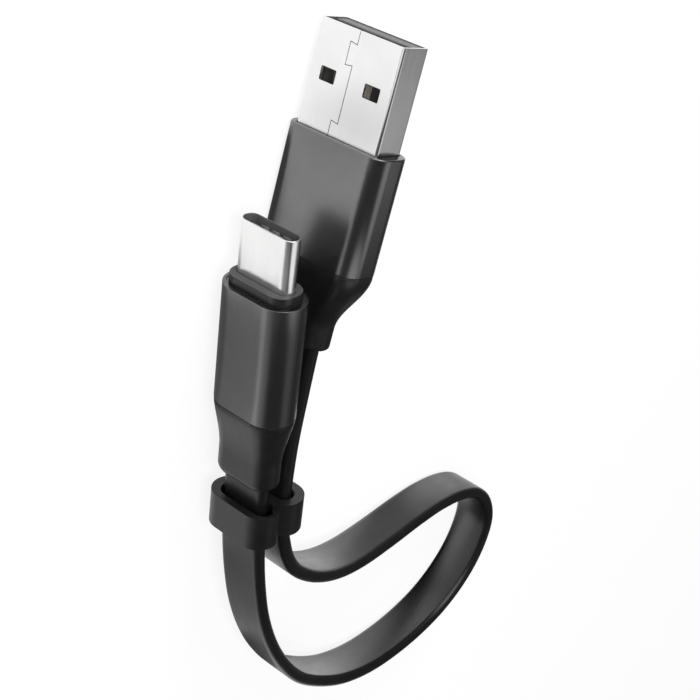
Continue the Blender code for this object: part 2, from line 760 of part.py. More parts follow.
def cable_clip(usb_c_exit):
    """The rubber keeper: two joined loops with a slot for each strand. It slides along +Y."""
    mat = rubber("cable_clip")
    top = -CLIP_TOP_GAP
    bottom = top - CLIP_HEIGHT
    slot_thickness = CORD_THICKNESS + 2 * CLIP_SLOT_CLEARANCE
    slot_width = CORD_WIDTH + 2 * CLIP_SLOT_CLEARANCE
    thickness = slot_thickness + 2 * CLIP_FACE_WALL
    width = slot_width + 2 * CLIP_END_WALL
    frame = plug_frame("clip_slide_axis", USB_C_MOUTH_X, USB_C_MOUTH_Y + usb_c_exit, 0.0)

    def lobe(name, x, size_w, size_t, low, high):
        outline = [(x + u, v) for u, v in rounded_outline(size_w, size_t, size_t / 2)]
        return prism(name, outline, "y", low, high, mat, frame)

    clip = lobe("cable_clip", 0.0, width, thickness, bottom, top)
    rear = lobe("join_rear_lobe", CLIP_STRAND_SPACING, width, thickness, bottom, top)
    boolean(clip, rear, "UNION")
    for name, x in (("cut_front_slot", 0.0), ("cut_rear_slot", CLIP_STRAND_SPACING)):
        slot = lobe(name, x, slot_width, slot_thickness, bottom - CLIP_HEIGHT, top + CLIP_HEIGHT)
        boolean(clip, slot, "DIFFERENCE")
    edge = clip.modifiers.new("rounded_edges", "BEVEL")
    edge.width = CLIP_EDGE
    edge.segments = 2
    edge.limit_method = "ANGLE"
    edge.angle_limit = math.radians(50)
    return clip


def main():
    clear_scene()
    usb_a, usb_a_exit = usb_a_plug()
    usb_c, usb_c_exit = usb_c_plug()
    cord(usb_a, usb_a_exit, usb_c, usb_c_exit)
    cable_clip(usb_c_exit)


main()
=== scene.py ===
"""The dressed charging cable: finer plugs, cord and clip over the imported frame, with their materials."""

import json
import math

import bmesh
import bpy
import numpy as np
from mathutils import Matrix, Vector


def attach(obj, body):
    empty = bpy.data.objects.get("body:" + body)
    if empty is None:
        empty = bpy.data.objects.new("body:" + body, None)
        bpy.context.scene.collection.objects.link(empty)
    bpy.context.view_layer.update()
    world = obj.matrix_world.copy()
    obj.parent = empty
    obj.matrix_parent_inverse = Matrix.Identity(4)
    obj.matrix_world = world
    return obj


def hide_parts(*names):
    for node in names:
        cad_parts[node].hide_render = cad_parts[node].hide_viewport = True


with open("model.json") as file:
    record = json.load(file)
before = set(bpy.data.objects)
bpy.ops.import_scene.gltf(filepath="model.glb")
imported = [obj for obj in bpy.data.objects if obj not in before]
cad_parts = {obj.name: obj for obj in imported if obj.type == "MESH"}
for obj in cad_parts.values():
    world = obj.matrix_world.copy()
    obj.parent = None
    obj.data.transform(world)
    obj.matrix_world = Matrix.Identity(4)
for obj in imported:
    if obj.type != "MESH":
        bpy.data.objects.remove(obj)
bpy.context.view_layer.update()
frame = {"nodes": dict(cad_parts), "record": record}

MM = 0.001
CORNER_STEPS = 14

# The USB-A plug in millimetres: sections as (width, thickness, corner), depths from the shell's mouth
SHELL_A = (12.0, 4.5, 0.4)
SHELL_A_WALL = 0.3
SHELL_A_LENGTH = 18.2
SEAM_GAP = 0.075
LATCH_WINDOW = (2.2, 1.6, 0.16)
LATCH_DEPTH = 5.9
LATCH_OFFSET = 3.2
CONTACTS_A = (-3.5, -1.0, 1.0, 3.5)
HOUSING_A = (14.5, 6.1, 2.2)
HOUSING_A_TOP = 12.2
HOUSING_A_END = 26.3
RELIEF_A_END = 36.9

# The USB-C plug, in the same way
SHELL_C = (8.25, 2.4, 1.2)
SHELL_C_WALL = 0.22
SHELL_C_LENGTH = 9.5
SPRING_THICKNESS = 0.1
SPRING_WIDTH = 4.5
SPRING_END = 6.3
COLLAR = (9.3, 4.8, 2.0)
COLLAR_TOP = 6.7
COLLAR_END = 21.7
HOUSING_C = (11.1, 6.4, 3.2)
HOUSING_C_TOP = 7.9
HOUSING_C_END = 23.5
RELIEF_C_END = 33.9

# What both plugs share: the housing's end wall, and the strain relief's length inside the housing,
# its section at the cord and its bore
END_WALL = 1.0
RELIEF_ROOT = 1.5
RELIEF_END = (8.9, 4.15, 2.075)
RELIEF_BORE = (5.6, 1.3, 0.65)

# The cord, with its length inside each strain relief
CORD_WIDTH = 6.8
CORD_THICKNESS = 1.9
CORD_HIDDEN = 1.4
CORD_RINGS = 420

# The clip: its depths in the USB-C plug's frame, one loop's section and the distance between the strands
CLIP_TOP = 37.1
CLIP_END = 41.9
CLIP_LOOP = (10.0, 5.2, 2.6)
STRAND_GAP = 4.2

# The studio: the lowest card's height and the step from each card to the next in mm, tent and floor in metres
CARD_HEIGHT = 0.01
CARD_STEP = 0.005
TENT_RADIUS = 0.6
FLOOR_HALF = 2.0

# The sky's light on the scene, the floor's grey, and how much the floor glows like the background, with the
# share of it that mirrors see
SKY_LIGHT = 0.45
FLOOR_GREY = 0.86
FLOOR_GLOW = 0.86
FLOOR_MIRRORED = 0.8

# The cord's route between the two plugs: (x, y, z) in metres
CORD_ROUTE = [
    (-0.0046, -0.0235, 0.00725),
    (-0.0055, -0.0305, 0.00725),
    (-0.0058, -0.0360, 0.00725),
    (-0.0058, -0.0400, 0.00725),
    (-0.0056, -0.0432, 0.00725),
    (-0.0048, -0.0463, 0.0072),
    (-0.0036, -0.0493, 0.0070),
    (-0.0014, -0.0527, 0.0067),
    (0.0020, -0.0559, 0.0064),
    (0.0062, -0.0586, 0.0060),
    (0.0108, -0.0606, 0.0055),
    (0.0160, -0.0618, 0.0050),
    (0.0226, -0.0622, 0.0045),
    (0.0304, -0.0622, 0.0040),
    (0.0361, -0.0625, 0.0037),
    (0.0413, -0.0634, 0.00355),
    (0.0459, -0.0653, 0.00345),
    (0.0493, -0.0686, 0.00345),
    (0.0510, -0.0730, 0.00345),
    (0.0505, -0.0772, 0.00345),
    (0.0486, -0.0811, 0.00345),
    (0.0456, -0.0843, 0.00345),
    (0.0418, -0.0867, 0.00345),
    (0.0369, -0.0880, 0.0036),
    (0.0308, -0.0883, 0.0039),
    (0.0233, -0.0874, 0.0043),
    (0.0157, -0.0847, 0.0048),
    (0.0088, -0.0804, 0.0053),
    (0.0034, -0.0757, 0.0058),
    (-0.0012, -0.0697, 0.0062),
    (-0.0046, -0.0637, 0.0066),
    (-0.0071, -0.0575, 0.0069),
    (-0.0086, -0.0520, 0.00715),
    (-0.0095, -0.0470, 0.00725),
    (-0.0099, -0.0428, 0.00725),
    (-0.0100, -0.0390, 0.00725),
]


# ---------------------------------------------------------------- objects and materials


def mesh_object(name, bm):
    """An object in the scene made from a bmesh, which is used up."""
    mesh = bpy.data.meshes.new(name)
    bm.to_mesh(mesh)
    bm.free()
    obj = bpy.data.objects.new(name, mesh)
    bpy.context.scene.collection.objects.link(obj)
    return obj


def bare_material(obj, name):
    """Gives the object a material without nodes, and returns its node list and link list."""
    mat = bpy.data.materials.new(name)
    mat.use_nodes = True
    mat.node_tree.nodes.clear()
    obj.data.materials.append(mat)
    return mat.node_tree.nodes, mat.node_tree.links


def mirrors_only(obj):
    """Hides the object from all rays but the glossy ones."""
    for kind in ("camera", "diffuse", "transmission", "volume_scatter", "shadow"):
        setattr(obj, f"visible_{kind}", False)


def math_node(nodes, operation):
    node = nodes.new("ShaderNodeMath")
    node.operation = operation
    return node


def smooth_step(nodes, links, value, start, end, first, last):
    """Eases from first to last while the value runs from start to end."""
    step = nodes.new("ShaderNodeMapRange")
    step.interpolation_type = "SMOOTHSTEP"
    step.inputs["From Min"].default_value = start
    step.inputs["From Max"].default_value = end
    step.inputs["To Min"].default_value = first
    step.inputs["To Max"].default_value = last
    links.new(value, step.inputs["Value"])
    return step.outputs["Result"]


def mix_shaders(nodes, links, share, first, second, out_kind):
    """Mixes two shaders by share and puts the result on the output node."""
    mix = nodes.new("ShaderNodeMixShader")
    out = nodes.new(out_kind)
    links.new(share, mix.inputs[0])
    links.new(first.outputs[0], mix.inputs[1])
    links.new(second.outputs[0], mix.inputs[2])
    links.new(mix.outputs[0], out.inputs["Surface"])


# ---------------------------------------------------------------- camera, light and floor


def add_camera():
    """Looks down on the cable from the USB-C plug's side, rolled so that the plugs point up."""
    data = bpy.data.cameras.new("camera")
    data.lens = 74.85
    data.sensor_width = 36.0
    data.clip_start = 0.001
    data.clip_end = 20.0
    camera = bpy.data.objects.new("camera", data)
    bpy.context.scene.collection.objects.link(camera)
    camera.matrix_world = Matrix(
        (
            (0.657412, 0.325420, -0.679640, -0.117125),
            (0.111232, 0.850150, 0.514657, 0.070784),
            (0.745276, -0.413940, 0.522702, 0.102642),
            (0.0, 0.0, 0.0, 1.0),
        )
    )
    bpy.context.scene.camera = camera


def background_factor(nodes, links, mirrored=1.0):
    """1 for the rays that see the background itself (camera and transmission), mirrored for glossy ones."""
    path = nodes.new("ShaderNodeLightPath")
    glossy = math_node(nodes, "MULTIPLY")
    glossy.inputs[1].default_value = mirrored
    first = math_node(nodes, "MAXIMUM")
    second = math_node(nodes, "MAXIMUM")
    links.new(path.outputs["Is Glossy Ray"], glossy.inputs[0])
    links.new(path.outputs["Is Camera Ray"], first.inputs[0])
    links.new(glossy.outputs[0], first.inputs[1])
    links.new(first.outputs[0], second.inputs[0])
    links.new(path.outputs["Is Transmission Ray"], second.inputs[1])
    return second.outputs[0]


def add_world():
    """A white background over an even, dimmer sky light."""
    world = bpy.data.worlds.new("studio")
    world.use_nodes = True
    nodes, links = world.node_tree.nodes, world.node_tree.links
    nodes.clear()
    soft = nodes.new("ShaderNodeBackground")
    soft.inputs["Color"].default_value = (1.0, 1.0, 1.0, 1.0)
    soft.inputs["Strength"].default_value = SKY_LIGHT
    white = nodes.new("ShaderNodeBackground")
    white.inputs["Color"].default_value = (1.0, 1.0, 1.0, 1.0)
    white.inputs["Strength"].default_value = 1.0
    mix_shaders(nodes, links, background_factor(nodes, links), soft, white, "ShaderNodeOutputWorld")
    bpy.context.scene.world = world


def add_floor():
    """A pale floor that shows the shadow, mostly as white as the background for the rays that see it."""
    bm = bmesh.new()
    corners = ((-1, -1), (1, -1), (1, 1), (-1, 1))
    bm.faces.new([bm.verts.new((x * FLOOR_HALF, y * FLOOR_HALF, 0.0)) for x, y in corners])
    floor = mesh_object("floor", bm)
    nodes, links = bare_material(floor, "floor_white")
    matte = nodes.new("ShaderNodeBsdfDiffuse")
    matte.inputs["Color"].default_value = (FLOOR_GREY, FLOOR_GREY, FLOOR_GREY, 1.0)
    white = nodes.new("ShaderNodeEmission")
    white.inputs["Color"].default_value = (1.0, 1.0, 1.0, 1.0)
    white.inputs["Strength"].default_value = 1.0
    share = math_node(nodes, "MULTIPLY")
    share.inputs[1].default_value = FLOOR_GLOW
    links.new(background_factor(nodes, links, FLOOR_MIRRORED), share.inputs[0])
    mix_shaders(nodes, links, share.outputs[0], matte, white, "ShaderNodeOutputMaterial")


def direction(azimuth, elevation):
    """The way to a point of the sky: azimuth from +Y towards +X, in degrees."""
    turn, rise = math.radians(azimuth), math.radians(elevation)
    return math.sin(turn) * math.cos(rise), math.cos(turn) * math.cos(rise), math.sin(rise)


def add_tent(level, panels):
    """A dim cloth dome that only mirrors see, with brighter panels (azimuth, elevation, radius, level)."""
    bm = bmesh.new()
    bmesh.ops.create_uvsphere(bm, u_segments=48, v_segments=24, radius=TENT_RADIUS)
    bmesh.ops.delete(bm, geom=[v for v in bm.verts if v.co.z < -0.01], context="VERTS")
    tent = mesh_object("tent", bm)
    mirrors_only(tent)
    nodes, links = bare_material(tent, "tent_cloth")
    where = nodes.new("ShaderNodeTexCoord")
    way = nodes.new("ShaderNodeVectorMath")
    way.operation = "NORMALIZE"
    links.new(where.outputs["Object"], way.inputs[0])
    total = nodes.new("ShaderNodeValue").outputs[0]
    total.default_value = level
    for azimuth, elevation, radius, strength in panels:
        towards = nodes.new("ShaderNodeVectorMath")
        towards.operation = "DOT_PRODUCT"
        towards.inputs[1].default_value = direction(azimuth, elevation)
        links.new(way.outputs["Vector"], towards.inputs[0])
        outer, core = math.cos(math.radians(radius * 1.35)), math.cos(math.radians(radius * 0.65))
        panel = smooth_step(nodes, links, towards.outputs["Value"], outer, core, 0.0, strength)
        add = math_node(nodes, "ADD")
        links.new(total, add.inputs[0])
        links.new(panel, add.inputs[1])
        total = add.outputs[0]
    glow = nodes.new("ShaderNodeEmission")
    out = nodes.new("ShaderNodeOutputMaterial")
    links.new(total, glow.inputs["Strength"])
    links.new(glow.outputs[0], out.inputs["Surface"])


def add_card(name, centre, half_size, turn, soft, shade):
    """A level oval card, dark or bright, that only mirrors see; soft is its faded share."""
    bm = bmesh.new()
    bmesh.ops.create_grid(bm, x_segments=1, y_segments=1, size=1.0)
    card = mesh_object(name, bm)
    card.location = tuple(value * MM for value in centre)
    card.rotation_euler = (0.0, 0.0, math.radians(turn))
    card.scale = (half_size[0] * MM, half_size[1] * MM, 1.0)
    mirrors_only(card)
    nodes, links = bare_material(card, name)
    where = nodes.new("ShaderNodeTexCoord")
    reach = nodes.new("ShaderNodeVectorMath")
    reach.operation = "LENGTH"
    links.new(where.outputs["Object"], reach.inputs[0])
    fade = smooth_step(nodes, links, reach.outputs["Value"], 1.0 - soft, 1.0, 1.0, 0.0)
    clear = nodes.new("ShaderNodeBsdfTransparent")
    glow = nodes.new("ShaderNodeEmission")
    glow.inputs["Strength"].default_value = shade
    mix_shaders(nodes, links, fade, clear, glow, "ShaderNodeOutputMaterial")


def add_lamp(name, place, target, size, watts):
    """A soft lamp that mirrors don't see."""
    data = bpy.data.lights.new(name, "AREA")
    data.shape = "RECTANGLE"
    data.size, data.size_y = size
    data.energy = watts
    lamp = bpy.data.objects.new(name, data)
    bpy.context.scene.collection.objects.link(lamp)
    aim = Vector(target) - Vector(place)
    lamp.rotation_euler = aim.to_track_quat("-Z", "Y").to_euler()
    lamp.location = place
    lamp.visible_glossy = False


# ---------------------------------------------------------------- materials


def new_material(name):
    mat = bpy.data.materials.new(name)
    mat.use_nodes = True
    return mat, mat.node_tree.nodes, mat.node_tree.links, mat.node_tree.nodes["Principled BSDF"]


def texture_place(nodes, links, stretch, source="Object"):
    """Texture coordinates of the piece's own space, scaled along each axis."""
    where = nodes.new("ShaderNodeTexCoord")
    scale = nodes.new("ShaderNodeMapping")
    scale.inputs["Scale"].default_value = stretch
    links.new(where.outputs[source], scale.inputs["Vector"])
    return scale.outputs["Vector"]


def noise(nodes, links, place, scale, detail=4.0, roughness=0.55):
    texture = nodes.new("ShaderNodeTexNoise")
    texture.inputs["Scale"].default_value = scale
    texture.inputs["Detail"].default_value = detail
    texture.inputs["Roughness"].default_value = roughness
    links.new(place, texture.inputs["Vector"])
    return texture.outputs["Fac"]


def spread(nodes, links, value, low, high):
    """Maps a texture's middle range to low..high."""
    ramp = nodes.new("ShaderNodeMapRange")
    ramp.inputs["From Min"].default_value = 0.3
    ramp.inputs["From Max"].default_value = 0.7
    ramp.inputs["To Min"].default_value = low
    ramp.inputs["To Max"].default_value = high
    links.new(value, ramp.inputs["Value"])
    return ramp.outputs["Result"]


def tint(nodes, links, value, first, second):
    mix = nodes.new("ShaderNodeMix")
    mix.data_type = "RGBA"
    mix.inputs["A"].default_value = (*first, 1.0)
    mix.inputs["B"].default_value = (*second, 1.0)
    links.new(value, mix.inputs["Factor"])
    return mix.outputs["Result"]


def bump(nodes, links, height, distance, strength, below=None):
    node = nodes.new("ShaderNodeBump")
    node.inputs["Distance"].default_value = distance
    node.inputs["Strength"].default_value = strength
    links.new(height, node.inputs["Height"])
    if below is not None:
        links.new(below, node.inputs["Normal"])
    return node.outputs["Normal"]


def metal(name, dark, light, rough, brush, grain, relief, metallic=1.0):
    """Metal with drawing lines along the plug, a finer grain and a little haze."""
    mat, nodes, links, shader = new_material(name)
    shader.inputs["Metallic"].default_value = metallic
    lines = noise(nodes, links, texture_place(nodes, links, brush), 1.0, 5.0)
    haze = noise(nodes, links, texture_place(nodes, links, (1.0, 1.0, 1.0)), 160.0, 3.0)
    fine = noise(nodes, links, texture_place(nodes, links, (1.0, 1.0, 1.0)), grain, 2.0)
    colour = tint(nodes, links, spread(nodes, links, haze, 0.0, 1.0), dark, light)
    links.new(colour, shader.inputs["Base Color"])
    links.new(spread(nodes, links, lines, *rough), shader.inputs["Roughness"])
    base = bump(nodes, links, lines, relief * MM, 0.35)
    links.new(bump(nodes, links, fine, relief * MM, 0.25, base), shader.inputs["Normal"])
    return mat


def moulded(name, dark, light, rough, grain, relief, source="Object", stretch=(1.0, 1.0, 1.0)):
    """Moulded rubber or plastic: a fine spark-eroded grain, slow colour drift and rubbed patches."""
    mat, nodes, links, shader = new_material(name)
    place = texture_place(nodes, links, stretch, source)
    drift = noise(nodes, links, place, grain / 12, 3.0)
    rub = noise(nodes, links, place, grain / 5, 4.0)
    fine = noise(nodes, links, place, grain, 3.0, 0.7)
    colour = tint(nodes, links, spread(nodes, links, drift, 0.0, 1.0), dark, light)
    links.new(colour, shader.inputs["Base Color"])
    links.new(spread(nodes, links, rub, *rough), shader.inputs["Roughness"])
    links.new(bump(nodes, links, fine, relief * MM, 0.5), shader.inputs["Normal"])
    return mat


def make_materials():
    drawn = (2500.0, 90.0, 2500.0)
    plated = (3000.0, 120.0, 3000.0)
    brushed = (4200.0, 60.0, 4200.0)
    mats = {
        "nickel": metal(
            "nickel_plate", (0.80, 0.80, 0.80), (0.86, 0.86, 0.855), (0.17, 0.25), drawn, 9000.0, 0.0012
        ),
        # a dark copy of the nickel for the shells' inner faces: painted shade inside the mouths
        "nickel_painted_shade": metal(
            "nickel_painted_shade", (0.085, 0.085, 0.085), (0.105, 0.105, 0.105), (0.4, 0.5),
            drawn, 9000.0, 0.003, 0.3,
        ),
        # spring steel much darker than bare steel: painted shade inside the USB-C mouth, also used on the
        # hidden latch plate
        "steel": metal(
            "spring_steel", (0.17, 0.17, 0.17), (0.23, 0.23, 0.23), (0.28, 0.42), drawn, 9000.0, 0.004, 0.4
        ),
        "gold": metal(
            "gold_plate", (0.68, 0.63, 0.52), (0.78, 0.73, 0.62), (0.20, 0.32), plated, 8000.0, 0.004, 0.6
        ),
        "anodised": metal(
            "anodised_metal", (0.187, 0.187, 0.191), (0.207, 0.207, 0.211), (0.27, 0.30),
            brushed, 9000.0, 0.00018,
        ),
        "rubber": moulded(
            "moulded_rubber", (0.0045, 0.0045, 0.005), (0.007, 0.007, 0.0075), (0.30, 0.38), 5200.0, 0.006
        ),
        "cord": moulded(
            "cord_jacket", (0.004, 0.004, 0.0045), (0.006, 0.006, 0.0065), (0.27, 0.34), 5200.0, 0.005,
            "UV", (0.25, 1.0, 1.0),
        ),
        "black_plastic": moulded(
            "black_plastic", (0.005, 0.005, 0.0055), (0.008, 0.008, 0.0085), (0.30, 0.38), 4200.0, 0.005
        ),
        "collar": moulded(
            "collar_plastic", (0.007, 0.007, 0.0075), (0.010, 0.010, 0.0105), (0.22, 0.28), 4200.0, 0.004
        ),
        # a lighter copy of the collar's plastic for its face towards the mouth: painted light
        "collar_lit_face": moulded(
            "collar_lit_face", (0.038, 0.038, 0.039), (0.048, 0.048, 0.049), (0.42, 0.50), 4200.0, 0.005
        ),
        "grey_plastic": moulded(
            "grey_plastic", (0.068, 0.068, 0.068), (0.086, 0.086, 0.085), (0.38, 0.50), 3800.0, 0.008
        ),
        "board": moulded(
            "solder_mask", (0.010, 0.065, 0.030), (0.02, 0.10, 0.045), (0.25, 0.38), 2600.0, 0.01
        ),
        "ceramic": moulded(
            "resistor_body", (0.02, 0.02, 0.022), (0.05, 0.05, 0.05), (0.40, 0.55), 5000.0, 0.01
        ),
    }
    colours = {
        "red": ((0.45, 0.012, 0.012), (0.60, 0.03, 0.025)),
        "white": ((0.70, 0.70, 0.67), (0.82, 0.82, 0.80)),
        "green": ((0.02, 0.25, 0.05), (0.04, 0.36, 0.09)),
        "black": ((0.012, 0.012, 0.012), (0.022, 0.022, 0.022)),
    }
    for colour, (dark, light) in colours.items():
        mats[f"wire_{colour}"] = moulded(f"wire_{colour}", dark, light, (0.32, 0.45), 3600.0, 0.008)
    return mats


# ---------------------------------------------------------------- mesh tools


def mount_frame(name, inset):
    """A plug's own frame from its mouth mount: the body lies along -Y, the wide faces towards X."""
    mount = next(m for m in frame["record"]["mounts"] if m["name"] == name)
    up = Vector((0.0, 0.0, 1.0))
    forward = Vector(mount["axis"]).normalized()
    side = forward.cross(up).normalized()
    matrix = Matrix((side, forward, up)).transposed().to_4x4()
    matrix.translation = Vector(mount["pos_m"]) - side * inset * MM
    return matrix


def add_piece(name, bm, place, mat):
    bmesh.ops.recalc_face_normals(bm, faces=bm.faces)
    obj = mesh_object(name, bm)
    obj.data.materials.append(mat)
    obj.matrix_world = place
    return obj


def combine(obj, others, operation="DIFFERENCE"):
    """Booleans the others into obj's mesh and removes them."""
    for other in others:
        modifier = obj.modifiers.new("combine", "BOOLEAN")
        modifier.operation = operation
        modifier.solver = "EXACT"
        modifier.object = other
    bpy.context.view_layer.update()
    solved = obj.evaluated_get(bpy.context.evaluated_depsgraph_get())
    mesh = bpy.data.meshes.new_from_object(solved)
    obj.modifiers.clear()
    obj.data = mesh
    for other in others:
        bpy.data.objects.remove(other, do_unlink=True)


def smooth(obj, bevel=0.0, segments=2, sharp=35.0):
    """Shades the piece smooth, with its edges eased by bevel mm or, if that is 0, kept sharp."""
    obj.data.shade_smooth()
    if bevel:
        ease = obj.modifiers.new("eased_edges", "BEVEL")
        ease.width = bevel * MM
        ease.segments = segments
        ease.limit_method = "ANGLE"
        ease.angle_limit = math.radians(sharp)
    else:
        obj.data.set_sharp_from_angle(angle=math.radians(sharp))
    even = obj.modifiers.new("even_normals", "WEIGHTED_NORMAL")
    even.keep_sharp = True


def dress(obj, body, slot, *nodes):
    """Puts the piece on its body, in place of the CAD nodes that it stands for."""
    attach(obj, body)
    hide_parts(*nodes)


def outline(section):
    """(x, z) points in mm of a rounded rectangle (width along z, thickness along x, corner)."""
    width, thickness, corner = section
    corner = min(corner, thickness / 2 * 0.999, width / 2 * 0.999)
    points = []
    for quarter, (side_x, side_z) in enumerate(((1, 1), (-1, 1), (-1, -1), (1, -1))):
        centre_x = side_x * (thickness / 2 - corner)
        centre_z = side_z * (width / 2 - corner)
        for step in range(CORNER_STEPS + 1):
            angle = math.pi / 2 * (quarter + step / CORNER_STEPS)
            points.append((centre_x + corner * math.cos(angle), centre_z + corner * math.sin(angle)))
    return points


def shrink(section, inset):
    return section[0] - 2 * inset, section[1] - 2 * inset, section[2] - inset


def bridge(bm, first, second):
    for index, vert in enumerate(first):
        after = (index + 1) % len(first)
        bm.faces.new((vert, first[after], second[after], second[index]))


def tube(stations):
    """A sleeve through (depth, section) stations in mm: down its outside and back up its inside."""
    bm = bmesh.new()
    rings = []
    for depth, section in stations:
        rings.append([bm.verts.new((x * MM, -depth * MM, z * MM)) for x, z in outline(section)])
    for first, second in zip(rings, rings[1:] + rings[:1]):
        bridge(bm, first, second)
    return bm


def eased(depth, section, radius, front, steps=4):
    """Stations that round a sleeve's outside edge at its front or its rear end."""
    side = 1 if front else -1
    stations = []
    for step in range(steps + 1):
        angle = math.pi / 2 * step / steps
        place = depth + side * radius * (1 - math.sin(angle))
        stations.append((place, shrink(section, radius * (1 - math.cos(angle)))))
    return stations[::-1] if front else stations


def prism(points, axis, low, high):
    """An outline of (u, v) points in mm pushed along one axis: x takes (y, z), y (x, z) and z (x, y)."""
    place = {
        "x": lambda u, v, depth: (depth * MM, u * MM, v * MM),
        "y": lambda u, v, depth: (u * MM, depth * MM, v * MM),
        "z": lambda u, v, depth: (u * MM, v * MM, depth * MM),
    }[axis]
    bm = bmesh.new()
    rings = [[bm.verts.new(place(u, v, depth)) for u, v in points] for depth in (low, high)]
    bm.faces.new(rings[0])
    bm.faces.new(rings[1])
    bridge(bm, *rings)
    return bm


def smooth_curve(points, count):
    """Points evenly spaced along a smooth curve through the given ones."""
    knots = np.array(points, dtype=float)
    steps = np.linalg.norm(np.diff(knots, axis=0), axis=1)
    travel = np.concatenate(([0.0], np.cumsum(np.sqrt(steps))))
    slopes = np.gradient(knots, travel, axis=0)
    fine = []
    for index in range(len(knots) - 1):
        span = travel[index + 1] - travel[index]
        for t in np.linspace(0.0, 1.0, 24, endpoint=False):
            fine.append(
                (2 * t**3 - 3 * t**2 + 1) * knots[index]
                + (t**3 - 2 * t**2 + t) * span * slopes[index]
                + (3 * t**2 - 2 * t**3) * knots[index + 1]
                + (t**3 - t**2) * span * slopes[index + 1]
            )
    fine.append(knots[-1])
    fine = np.array(fine)
    run = np.concatenate(([0.0], np.cumsum(np.linalg.norm(np.diff(fine, axis=0), axis=1))))
    even = np.linspace(0.0, run[-1], count)
    return np.column_stack([np.interp(even, run, fine[:, axis]) for axis in range(3)])


# ---------------------------------------------------------------- the USB-A plug


def seam_path():
    """The folded sheet's joint: straight runs with dovetail keys, as (y, z) in mm."""
    base, tip, flare, length, over = -0.2, -1.2, 0.08, 2.5, 0.2
    path = [(over, base)]
    for key in (-1.5, -10.5):
        path += [(key - flare, base), (key + flare, tip)]
        path += [(key - length - flare, tip), (key - length + flare, base)]
    path.append((-SHELL_A_LENGTH - over, base))
    return path


def strip(path, width):
    """The outline of a strip of even width along a path of (u, v) points."""
    runs = [(Vector(b) - Vector(a)).normalized() for a, b in zip(path, path[1:])]
    sides = []
    for point, first, second in zip(path, [runs[0], *runs], [*runs, runs[-1]]):
        normal = Vector((-first.y - second.y, first.x + second.x)).normalized()
        reach = width / 2 / normal.dot(Vector((-first.y, first.x)))
        sides.append((Vector(point), normal * reach))
    return [tuple(p + s) for p, s in sides] + [tuple(p - s) for p, s in reversed(sides)]


def paint_shade_inside(shell, section, wall, mat):
    """Gives mat, a dark copy of the nickel that paints the shade inside the shell, to the inner faces of a
    shell, which face its axis and lie past the middle of its wall.
    """
    shell.data.materials.append(mat)
    past_middle, facing_in = 0.6, -0.1
    half = (section[1] / 2 - wall * past_middle) * MM
    for face in shell.data.polygons:
        outwards = face.center.x * face.normal.x + face.center.z * face.normal.z
        if outwards < facing_in * MM and abs(face.center.x) < half:
            face.material_index = 1


def usb_a_shell(place, mat, inside):
    """The folded shell, with its seam cut through the front and two latch windows through both wide faces."""
    inner = shrink(SHELL_A, SHELL_A_WALL)
    stations = [(0.0, SHELL_A), (SHELL_A_LENGTH, SHELL_A), (SHELL_A_LENGTH, inner), (0.0, inner)]
    shell = add_piece("usb_a_shell_folded", tube(stations), place, mat)
    outside, hollow = SHELL_A[1] / 2 + 0.35, 1.1
    seam = strip(seam_path(), SEAM_GAP)
    cutters = [add_piece("cut_seam", prism(seam, "x", -outside, -hollow), place, mat)]
    for side in (-1, 1):
        window = [(y - LATCH_DEPTH, z + side * LATCH_OFFSET) for y, z in outline(LATCH_WINDOW)]
        cutters.append(add_piece(f"cut_window_{side}", prism(window, "x", -outside, outside), place, mat))
    combine(shell, cutters)
    # the inner faces get the dark copy of the nickel: painted shade inside the mouth
    paint_shade_inside(shell, SHELL_A, SHELL_A_WALL, inside)
    smooth(shell, 0.02, 2, 60.0)
    dress(shell, "cable", "nickel", "usb_a_shell")


def usb_a_tongue(place, mat):
    """The grey tongue with its eased nose and four contact grooves, and the block behind it."""
    low, face, high = -1.88, -0.02, 1.88
    nose, block, rear, half_width, ease = -0.1, -9.0, -14.5, 5.5, 0.1
    points = [
        (high, nose),
        (high, rear),
        (low, rear),
        (low, block),
        (face, block),
        (face, nose - ease),
        (face + ease, nose),
    ]
    tongue = add_piece("usb_a_tongue", prism(points, "z", -half_width, half_width), place, mat)
    deep, first, last, half_groove = 0.2, -1.23, rear - 0.3, 0.57
    groove = [(face - deep, last), (face + deep, last), (face + deep, first), (face - deep, first)]
    grooves = []
    for z in CONTACTS_A:
        cutter = prism(groove, "z", z - half_groove, z + half_groove)
        grooves.append(add_piece(f"cut_groove_{z}", cutter, place, mat))
    combine(tongue, grooves)
    smooth(tongue, 0.05, 2, 35.0)
    dress(tongue, "cable", "grey_plastic", "usb_a_insulator")


def housing_sleeve(name, top, end, section, wall, ease, set_back, opening, place, mat, node):
    """A metal sleeve with an end wall, flush or a little set back in its mouth, round the given opening."""
    inner = shrink(section, wall)
    rear_ease, front = 0.05, top + set_back
    stations = eased(top, section, ease, True) + eased(end, section, rear_ease, False) + [(end, inner)]
    stations += [(front + END_WALL, inner), (front + END_WALL, opening), (front, opening)]
    if set_back:
        stations += [(front, inner), (top, inner)]
    piece = add_piece(name, tube(stations), place, mat)
    smooth(piece, 0.0, 2, 50.0)
    dress(piece, "cable", "housing_grey", node)


